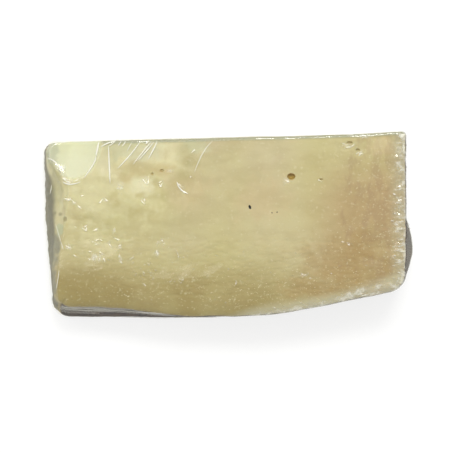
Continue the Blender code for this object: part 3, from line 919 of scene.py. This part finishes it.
# Single puckers: middle in pixels, length and width in millimetres, and turn in degrees.
PUCKERS = (
    ((60.6, 166.6), 3.6, 1.20, 111),
    ((62.2, 178.0), 2.4, 1.10, 150),
    ((67.6, 181.6), 2.8, 0.7, 172),
    ((76.4, 179.4), 2.6, 0.45, 28),
    ((100.9, 199.9), 3.0, 0.7, 52),
    ((104.9, 199.0), 2.3, 0.9, 130),
    ((81.5, 195.2), 1.8, 0.5, 22),
    ((66.0, 198.9), 3.0, 0.7, 170),
    ((71.8, 201.3), 2.6, 0.6, 140),
    ((78.2, 206.8), 2.4, 0.7, 132),
    ((144.6, 182.0), 3.2, 0.6, 127),
    ((148.0, 179.6), 4.1, 0.5, 84),
    ((160.5, 181.4), 2.3, 0.55, 34),
    ((161.3, 184.2), 2.4, 0.8, 63),
    ((159.5, 185.0), 1.4, 0.6, 117),
    ((179.1, 184.5), 3.0, 0.8, 135),
    ((184.0, 191.8), 3.4, 1.00, 153),
    ((190.8, 176.6), 0.9, 0.7, 0),
    ((142.6, 202.3), 2.9, 0.6, 132),
    ((144.0, 199.8), 1.7, 0.5, 88),
    ((192.5, 151.5), 2.8, 0.6, 45),
    ((84.9, 225.7), 2.0, 0.6, 34),
    ((82.9, 229.4), 2.5, 0.7, 154),
    ((85.4, 228.6), 1.9, 0.5, 103),
    ((94.1, 229.9), 2.3, 0.8, 26),
    ((74.0, 226.9), 1.2, 0.4, 146),
    ((115.2, 238.8), 3.1, 0.7, 159),
    ((118.7, 245.6), 1.8, 0.6, 23),
    ((118.9, 256.2), 2.1, 0.5, 110),
    ((120.5, 262.7), 1.8, 0.5, 135),
    ((96.3, 239.8), 1.9, 0.5, 27),
    ((99.8, 240.0), 1.6, 0.5, 142),
    ((91.4, 241.6), 1.2, 0.35, 145),
    ((94.6, 244.8), 2.1, 0.4, 23),
    ((109.8, 245.8), 2.3, 0.45, 133),
    ((103.4, 260.2), 2.2, 0.7, 116),
    ((95.6, 257.4), 1.7, 0.4, 110),
    ((98.8, 259.2), 1.6, 0.45, 117),
    ((92.4, 258.9), 2.0, 0.3, 102),
    ((88.1, 259.2), 1.5, 0.5, 132),
    ((88.9, 251.7), 2.3, 0.4, 170),
    ((100.8, 253.3), 2.3, 0.4, 155),
    ((66.1, 246.8), 2.7, 0.5, 148),
    ((74.2, 256.2), 1.9, 0.5, 153),
    ((130.1, 258.9), 3.2, 0.3, 38),
    ((162.5, 241.3), 1.5, 0.4, 130),
    ((156.2, 251.8), 1.6, 0.4, 115),
    ((158.5, 254.0), 2.0, 0.35, 5),
    ((176.8, 251.8), 4.1, 0.2, 108),
    ((178.3, 256.5), 0.8, 0.6, 90),
    ((143.5, 284.5), 2.0, 0.4, 140),
    ((236.2, 283.0), 1.2, 0.5, 70),
    ((302.0, 274.0), 1.4, 0.6, 160),
    ((310.6, 278.3), 1.0, 0.5, 140),
    ((331.0, 273.4), 0.8, 0.5, 10),
    ((342.9, 241.9), 1.6, 0.5, 170),
    ((348.4, 244.5), 1.4, 0.6, 160),
    ((287.0, 180.9), 2.2, 0.9, 150),
    ((319.9, 180.8), 2.0, 0.5, 152),
    ((342.5, 143.6), 2.2, 0.4, 160),
    ((349.5, 147.0), 3.2, 0.6, 10),
    ((346.5, 145.6), 1.8, 0.4, 40),
    ((352.8, 145.3), 1.6, 0.5, 60),
    ((356.5, 153.7), 1.3, 0.4, 44),
    ((360.6, 153.9), 2.2, 0.5, 10),
    ((361.7, 135.6), 3.2, 0.5, 36),
    ((363.6, 137.2), 2.4, 0.4, 36),
    ((371.2, 136.0), 2.2, 0.6, 10),
    ((380.0, 133.6), 1.2, 0.4, 10),
    ((389.0, 133.9), 1.2, 0.4, 0),
    ((401.4, 135.4), 2.4, 1.60, 20),
    ((365.3, 295.0), 4.2, 0.35, 13),
    ((398.0, 289.0), 1.8, 0.35, 22),
)
# Groups of small glints: middle and half widths in pixels, count, and their usual turn.
GLINT_CLUSTERS = (
    ((60.8, 170.0), (3.5, 6.5), 7, 110),
    ((65.0, 179.0), (8.0, 4.5), 8, 160),
    ((97.0, 241.5), (7.0, 4.0), 5, 30),
    ((97.0, 257.0), (10.0, 6.0), 12, 110),
    ((119.0, 252.0), (3.0, 12.0), 8, 110),
    ((131.0, 258.0), (5.0, 6.0), 4, 40),
    ((67.0, 248.0), (6.0, 5.0), 6, 150),
    ((160.0, 242.0), (4.0, 4.0), 6, 120),
    ((157.0, 253.0), (4.0, 5.0), 8, 100),
    ((147.0, 263.0), (5.0, 3.0), 6, 60),
    ((140.0, 273.0), (14.0, 8.0), 16, 150),
    ((178.0, 282.0), (12.0, 3.0), 10, 10),
    ((236.0, 283.0), (3.0, 4.0), 5, 80),
    ((303.0, 274.5), (6.0, 2.5), 7, 10),
    ((347.0, 243.0), (6.0, 3.0), 4, 150),
    ((350.0, 146.0), (7.0, 3.0), 6, 30),
    ((359.0, 154.0), (5.0, 2.5), 4, 30),
    ((366.0, 136.5), (9.0, 2.5), 7, 30),
    ((66.5, 199.0), (8.0, 3.0), 9, 160),
    ((119.5, 187.0), (4.0, 6.0), 7, 80),
)
GLINT_LENGTHS, GLINT_WIDTHS, GLINT_SPREAD = (0.4, 1.7), (0.18, 0.4), 25
LOOSE_GLINTS, LOOSE_LENGTHS, LOOSE_WIDTHS = 26, (0.4, 1.1), (0.2, 0.45)
LOOSE_TURNS = (0, 15, 30, 150, 165, 90)
WEDGE_LEANS = (-0.9, -0.5, 0.0, 0.5, 0.9)
WEDGE_LIFT = 0.02
# Teeth of doubled film along the rind edges, as the puckers are given; then counts and
# ranges, in millimetres, of smaller ones along the rind end and the lower edge.
FROSTY_TEETH = (
    ((401.4, 136.0), 3.2, 2.2, 20),
    ((402.5, 148.0), 4.0, 1.2, 95),
    ((402.0, 168.0), 2.4, 0.7, 165),
    ((401.6, 188.6), 3.0, 0.8, 168),
    ((393.6, 194.3), 1.8, 0.7, 150),
    ((399.0, 198.0), 2.6, 0.8, 30),
    ((400.8, 206.5), 3.4, 1.6, 20),
    ((391.5, 220.8), 1.9, 0.6, 168),
    ((400.6, 221.8), 2.3, 0.8, 15),
    ((399.0, 229.2), 4.6, 0.8, 10),
    ((399.0, 239.7), 3.2, 0.8, 8),
    ((401.2, 251.3), 3.2, 1.2, 5),
    ((394.0, 255.5), 1.4, 0.6, 150),
    ((397.5, 272.0), 1.8, 0.7, 165),
    ((349.5, 135.4), 2.8, 0.6, 5),
)
SMALL_TEETH = (
    (16, (69, 75), (-24, 34), (0.6, 1.8), (0.2, 0.4)),
    (14, (16, 70), (-39, -34), (1.0, 2.6), (0.2, 0.35)),
)
TOOTH_TURNS = (0, 15, 30, 150, 165)


film_corners = [vert.co / MM for vert in film.data.vertices]
film_faces = [face.vertices[:] for face in film.data.polygons]
film_tree = BVHTree.FromPolygons(film_corners, film_faces)


def on_film(x, y, z=None):
    """The film's place and outward direction nearest to a point, or straight below x and y."""
    if z is None:
        found = film_tree.ray_cast(Vector((x, y, 90)), Vector((0, 0, -1)))
        if found[0] is not None:
            return found[:2]
    return film_tree.find_nearest(Vector((x, y, z or 0)))[:2]


def lay_facets(name, rows, jitter, paint):
    """One mesh of thin wedges on the film, each turned to mirror the softbox, give or take."""
    heap = bmesh.new()
    lamp, eye = key_aim * KEY_DISTANCE / MM, camera.location / MM
    for x, y, length, width, turn in rows:
        ground = on_film(x, y)[0]
        wedge = bmesh.ops.create_cube(heap, size=2)["verts"]
        cube = np.array([v.co for v in wedge])
        lean = pucker_draw.choice(WEDGE_LEANS)
        along = (cube[:, 0] + cube[:, 1]) / 2
        across = (cube[:, 1] - cube[:, 0]) / 2
        along = (along + lean * np.abs(across)) * length / 2
        across = across * width / 2
        angle = math.radians(turn)
        dx = along * math.cos(angle) - across * math.sin(angle)
        dy = along * math.sin(angle) + across * math.cos(angle)
        facing = (lamp - ground).normalized() + (eye - ground).normalized()
        fall_x = facing.x / facing.z + pucker_draw.uniform(-jitter, jitter)
        fall_y = facing.y / facing.z + pucker_draw.uniform(-jitter, jitter)
        rise = -(fall_x * dx + fall_y * dy)
        z = ground.z + np.where(cube[:, 2] > 0, rise - rise.min() + WEDGE_LIFT, -WEDGE_LIFT)
        for vert, place in zip(wedge, np.stack([x + dx, y + dy, z], axis=-1).tolist()):
            vert.co = Vector(place) * MM
    bmesh.ops.recalc_face_normals(heap, faces=heap.faces)
    dress(add_object(name, finished_mesh(name, heap, paint)))


pucker_draw = random.Random(7)

# The same film drawn flat. A real facet is mirror-smooth; this one is rougher, so that a
# glint smaller than a pixel still shows, as a soft white one.
taut_film = clear_film("taut_film_facet", 0.3, TWO_FACES, 0.15, 0.042)
puckers = [(*from_image(*spot), *shape) for spot, *shape in PUCKERS]
lay_facets("film_puckers", puckers, 0.06, taut_film)

# Film with fine crinkles: as the taut one, a little duller, and each facet looks its own way.
crinkled_film = clear_film("crinkled_film_facet", 0.32, TWO_FACES, 0.14, 0.03)
glints = []
for (centre_x, centre_y), (half_x, half_y), count, turn in GLINT_CLUSTERS:
    for _ in range(count):
        spot = pucker_draw.gauss(centre_x, half_x / 2), pucker_draw.gauss(centre_y, half_y / 2)
        size = pucker_draw.uniform(*GLINT_LENGTHS), pucker_draw.uniform(*GLINT_WIDTHS)
        glints.append((*from_image(*spot), *size, pucker_draw.gauss(turn, GLINT_SPREAD)))
for _ in range(LOOSE_GLINTS):
    spot = pucker_draw.uniform(-52, 66), pucker_draw.uniform(-33, -9)
    size = pucker_draw.uniform(*LOOSE_LENGTHS), pucker_draw.uniform(*LOOSE_WIDTHS)
    glints.append((*spot, *size, pucker_draw.choice(LOOSE_TURNS)))
lay_facets("film_glints", glints, 0.14, crinkled_film)

# Two plies with air between them: half milky in patches, with hardly any glint.
doubled_film = clear_film("doubled_film_facet", 0.4, TWO_FACES, 0.5, 0.02, broken=True)
teeth = [(*from_image(*spot), *shape) for spot, *shape in FROSTY_TEETH]
for count, span_x, span_y, lengths, widths in SMALL_TEETH:
    for _ in range(count):
        x, y = pucker_draw.uniform(*span_x), pucker_draw.uniform(*span_y)
        y = max(y, float(lower_wall(np.array([x]), 1.0)[0]) + pucker_draw.uniform(1.0, 3.5))
        size = pucker_draw.uniform(*lengths), pucker_draw.uniform(*widths)
        teeth.append((x, y, *size, pucker_draw.choice(TOOTH_TURNS)))
lay_facets("film_teeth", teeth, 0.25, doubled_film)

# ---------------------------------------------------------------------------------------
# Pinched folds. Where the film was drawn together it stands up in thin welts of two or
# three plies, which look milky. They fan down from the upper edge by the core, run along
# the rind at the lower left, and gather on the ends, where the wrap was closed.

# Folds on the front: three pixels that each runs through, then its width and its height.
FOLDS = (
    (((98.0, 140.8), (96.2, 148.5), (94.8, 156.0)), 0.85, 0.16),
    (((94.8, 155.5), (92.0, 164.0), (82.0, 178.5)), 0.60, 0.14),
    (((99.3, 146.6), (107.0, 142.6), (115.3, 140.0)), 0.60, 0.12),
    (((107.9, 145.6), (111.5, 143.0), (114.5, 140.2)), 0.45, 0.10),
    (((107.6, 144.8), (108.3, 163.0), (109.3, 183.0)), 0.65, 0.14),
    (((117.2, 145.3), (118.8, 143.0), (120.6, 140.4)), 0.45, 0.10),
    (((121.0, 146.0), (123.0, 143.6), (125.0, 140.6)), 0.45, 0.10),
    (((116.4, 168.3), (129.0, 155.0), (140.2, 140.0)), 0.50, 0.12),
    (((132.5, 163.8), (142.2, 151.6), (151.2, 140.6)), 0.45, 0.12),
    (((137.0, 160.6), (146.2, 150.2), (153.6, 141.0)), 0.45, 0.12),
    (((145.0, 143.6), (146.7, 141.8), (148.6, 139.8)), 0.70, 0.16),
    (((147.1, 159.3), (152.9, 149.1), (157.0, 140.0)), 0.50, 0.12),
    (((149.8, 153.9), (152.6, 149.0), (155.2, 144.0)), 0.35, 0.10),
    (((126.0, 151.0), (128.5, 146.5), (131.5, 141.0)), 0.30, 0.08),
    (((194.3, 172.0), (203.0, 152.5), (212.4, 141.0)), 0.30, 0.04),
    (((176.7, 181.3), (180.0, 188.5), (188.3, 193.7)), 0.50, 0.14),
    (((45.6, 157.7), (54.0, 162.0), (60.4, 173.2)), 0.55, 0.16),
    (((61.0, 180.9), (68.0, 183.9), (79.3, 181.6)), 0.60, 0.16),
    (((48.4, 184.0), (47.6, 188.8), (46.2, 193.5)), 0.40, 0.12),
    (((52.8, 223.9), (56.0, 233.0), (59.2, 242.0)), 0.30, 0.07),
    (((59.2, 242.0), (60.6, 246.0), (61.7, 250.0)), 0.30, 0.07),
    (((57.5, 270.0), (56.2, 280.0), (54.4, 290.0)), 0.28, 0.06),
    (((58.7, 308.4), (110.0, 311.8), (162.4, 314.2)), 0.38, 0.08),
    (((66.0, 311.0), (100.0, 313.2), (138.0, 315.2)), 0.22, 0.06),
)
FOLD_STEP, PLEAT_STEP = 0.8, 1.2
PLEAT_WIDTHS, PLEAT_HEIGHTS = (0.35, 0.8), (0.12, 0.3)
LONG_RUN = 20
# Pleats on the walls: count, the two corners of the block where they start, and their run.
WALL_PLEATS = (
    (7, (80, 0, 38), (80, 34, 38), (0, 6, -34)),
    (9, (-60, 42, 8), (40, 42, 30), (34, 0, 5)),
    (6, (-60, -42, 4), (40, -42, 12), (34, 0, 4)),
)


def lay_welt(heap, spots, width, height):
    """Adds a thin welt along spots on the film, each a place and an outward direction."""
    spots = [spots[0]] + [b for a, b in zip(spots, spots[1:]) if (b[0] - a[0]).length > 0.3]
    steps = len(spots) - 1
    if steps < 3:
        return
    welt = divided_cube((steps, 4, 1))
    cube = np.array([v.co for v in welt.verts])
    places, outs = (np.array(part) for part in zip(*spots))
    sides = np.cross(outs, np.gradient(places, axis=0))
    sides /= np.linalg.norm(sides, axis=1)[:, None]
    station = np.rint((cube[:, 0] + 1) / 2 * steps).astype(int)
    taper = np.sqrt(np.maximum(0.02, 1 - cube[:, 0] ** 2))
    crown = height * taper * np.sqrt(1 - 0.95 * cube[:, 1] ** 2)
    rise = np.where(cube[:, 2] > 0, crown, -0.03)[:, None]
    reach = (cube[:, 1] * width / 2 * taper)[:, None]
    laid = places[station] + sides[station] * reach + outs[station] * rise
    for vert, place in zip(welt.verts, laid.tolist()):
        vert.co = Vector(place) * MM
    bmesh.ops.recalc_face_normals(welt, faces=welt.faces)
    welt_mesh = finished_mesh("welt", welt)
    heap.from_mesh(welt_mesh)
    bpy.data.meshes.remove(welt_mesh)


fold_block = bmesh.new()
for path, width, height in FOLDS:
    ends = np.array([from_image(*pixel) for pixel in path])
    bends = [np.polyfit((0, 0.5, 1), ends[:, axis], 2) for axis in (0, 1)]
    share = np.linspace(0, 1, max(6, round(math.dist(ends[0], ends[-1]) / FOLD_STEP)) + 1)
    track = zip(*(np.polyval(bend, share) for bend in bends))
    lay_welt(fold_block, [on_film(x, y) for x, y in track], width, height)

pleat_draw = random.Random(31)
pleat_block = bmesh.new()
for count, first, last, run in WALL_PLEATS:
    for _ in range(count):
        start = np.array([pleat_draw.uniform(a, b) for a, b in zip(first, last)])
        run_share = pleat_draw.uniform(0.4, 1.0)
        shares = [run_share if abs(p) > LONG_RUN else pleat_draw.uniform(-1, 1) for p in run]
        drift = np.array(run) * shares
        steps = max(6, round(np.linalg.norm(drift) / PLEAT_STEP))
        track = start + np.linspace(0, 1, steps + 1)[:, None] * drift
        size = pleat_draw.uniform(*PLEAT_WIDTHS), pleat_draw.uniform(*PLEAT_HEIGHTS)
        lay_welt(pleat_block, [on_film(*place) for place in track.tolist()], *size)

# Pinched plies are pressed together with air between them, so they look milky; gathered
# film on the walls is one or two plies, clear but for the light along its crests.
pinched_film = clear_film("pinched_film_plies", 0.2, 1.2, 0.85, 0.085)
gathered_film = clear_film("gathered_film_plies", 0.2, 1.2, 0.14, 0.085)
for name, heap, paint in (
    ("film_folds", fold_block, pinched_film),
    ("film_pleats", pleat_block, gathered_film),
):
    mesh = finished_mesh(name, heap, paint)
    mesh.shade_smooth()
    dress(add_object(name, mesh))
